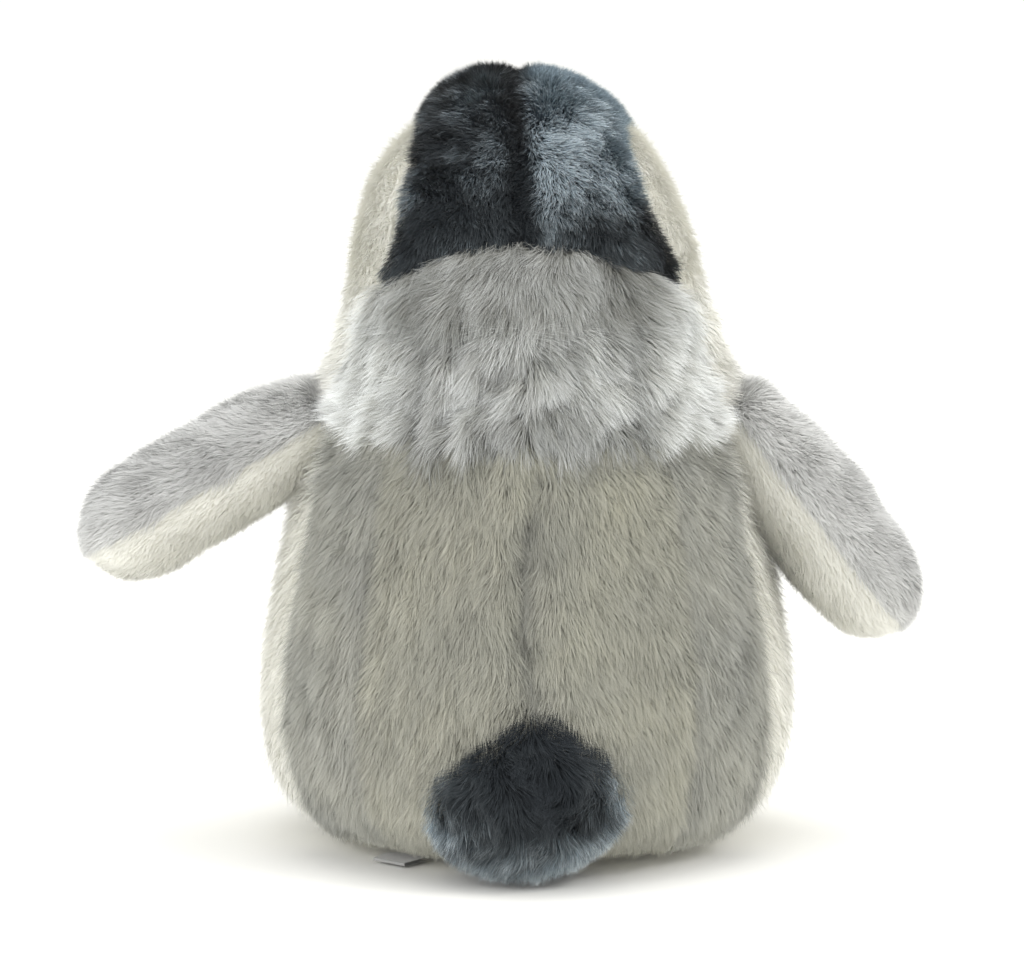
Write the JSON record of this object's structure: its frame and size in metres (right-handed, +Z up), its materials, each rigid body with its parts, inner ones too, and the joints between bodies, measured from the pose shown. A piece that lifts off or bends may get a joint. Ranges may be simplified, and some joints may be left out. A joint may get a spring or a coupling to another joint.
{
  "type": "plush penguin",
  "caption": "Sitting plush penguin chick with fur panels over stuffing, two flippers that flap, a head that turns, a stub tail and two feet.",
  "frame": {"origin": "middle of the flat base, on the floor", "axes": "+Z up; the penguin faces -Y; +X is its own left side"},
  "size_m": [0.2547, 0.1896, 0.237],
  "materials": {
    "dove_fur": "matte",
    "silver_fur": "matte",
    "cream_fur": "matte",
    "slate_fur": "matte",
    "charcoal_cloth": "matte",
    "fibre_fill": "matte",
    "bag_cloth": "matte",
    "pellet_plastic": "matte",
    "satin_label": "satin",
    "eye_plastic": "gloss",
    "washer_plastic": "matte"
  },
  "bodies": {
    "trunk": {"back_left": "dove_fur", "back_right": "dove_fur", "side_left": "dove_fur", "side_right": "dove_fur", "yoke": "silver_fur", "shoulder_left": "silver_fur", "shoulder_right": "silver_fur", "chest": "cream_fur", "belly": "cream_fur", "base": "cream_fur", "body_stuffing": "fibre_fill", "pellet_bag": "bag_cloth", "pellets": "pellet_plastic", "tail_upper": "slate_fur", "tail_under": "slate_fur", "tail_stuffing": "fibre_fill", "foot_upper_left": "charcoal_cloth", "foot_upper_right": "charcoal_cloth", "foot_sole_left": "charcoal_cloth", "foot_sole_right": "charcoal_cloth", "foot_stuffing_left": "fibre_fill", "foot_stuffing_right": "fibre_fill", "care_label": "satin_label"},
    "head": {"cap_left": "slate_fur", "cap_right": "slate_fur", "nape": "silver_fur", "cheek_left": "cream_fur", "cheek_right": "cream_fur", "head_stuffing": "fibre_fill", "beak_upper": "charcoal_cloth", "beak_lower": "charcoal_cloth", "eye_left": "eye_plastic", "eye_right": "eye_plastic", "eye_washer_left": "washer_plastic", "eye_washer_right": "washer_plastic"},
    "flipper_left": {"flipper_top_left": "silver_fur", "flipper_under_left": "cream_fur", "flipper_stuffing_left": "fibre_fill"},
    "flipper_right": {"flipper_top_right": "silver_fur", "flipper_under_right": "cream_fur", "flipper_stuffing_right": "fibre_fill"}
  },
  "joints": [
    {"name": "head_turn", "type": "hinge", "parent": "trunk", "child": "head", "pos_m": [0, 0, 0.162], "axis": [0, 0, 1], "range_deg": [-25, 25], "stiffness_Nm_per_rad": 0.3},
    {"name": "left_flap", "type": "hinge", "parent": "trunk", "child": "flipper_left", "pos_m": [0.065, 0, 0.1265], "axis": [0, 1, 0], "range_deg": [-64, 29], "stiffness_Nm_per_rad": 0.3, "springref_deg": -1.72},
    {"name": "right_flap", "type": "hinge", "parent": "trunk", "child": "flipper_right", "pos_m": [-0.065, 0, 0.1265], "axis": [0, -1, 0], "range_deg": [-86, 7], "stiffness_Nm_per_rad": 0.3, "springref_deg": -1.26}
  ]
}
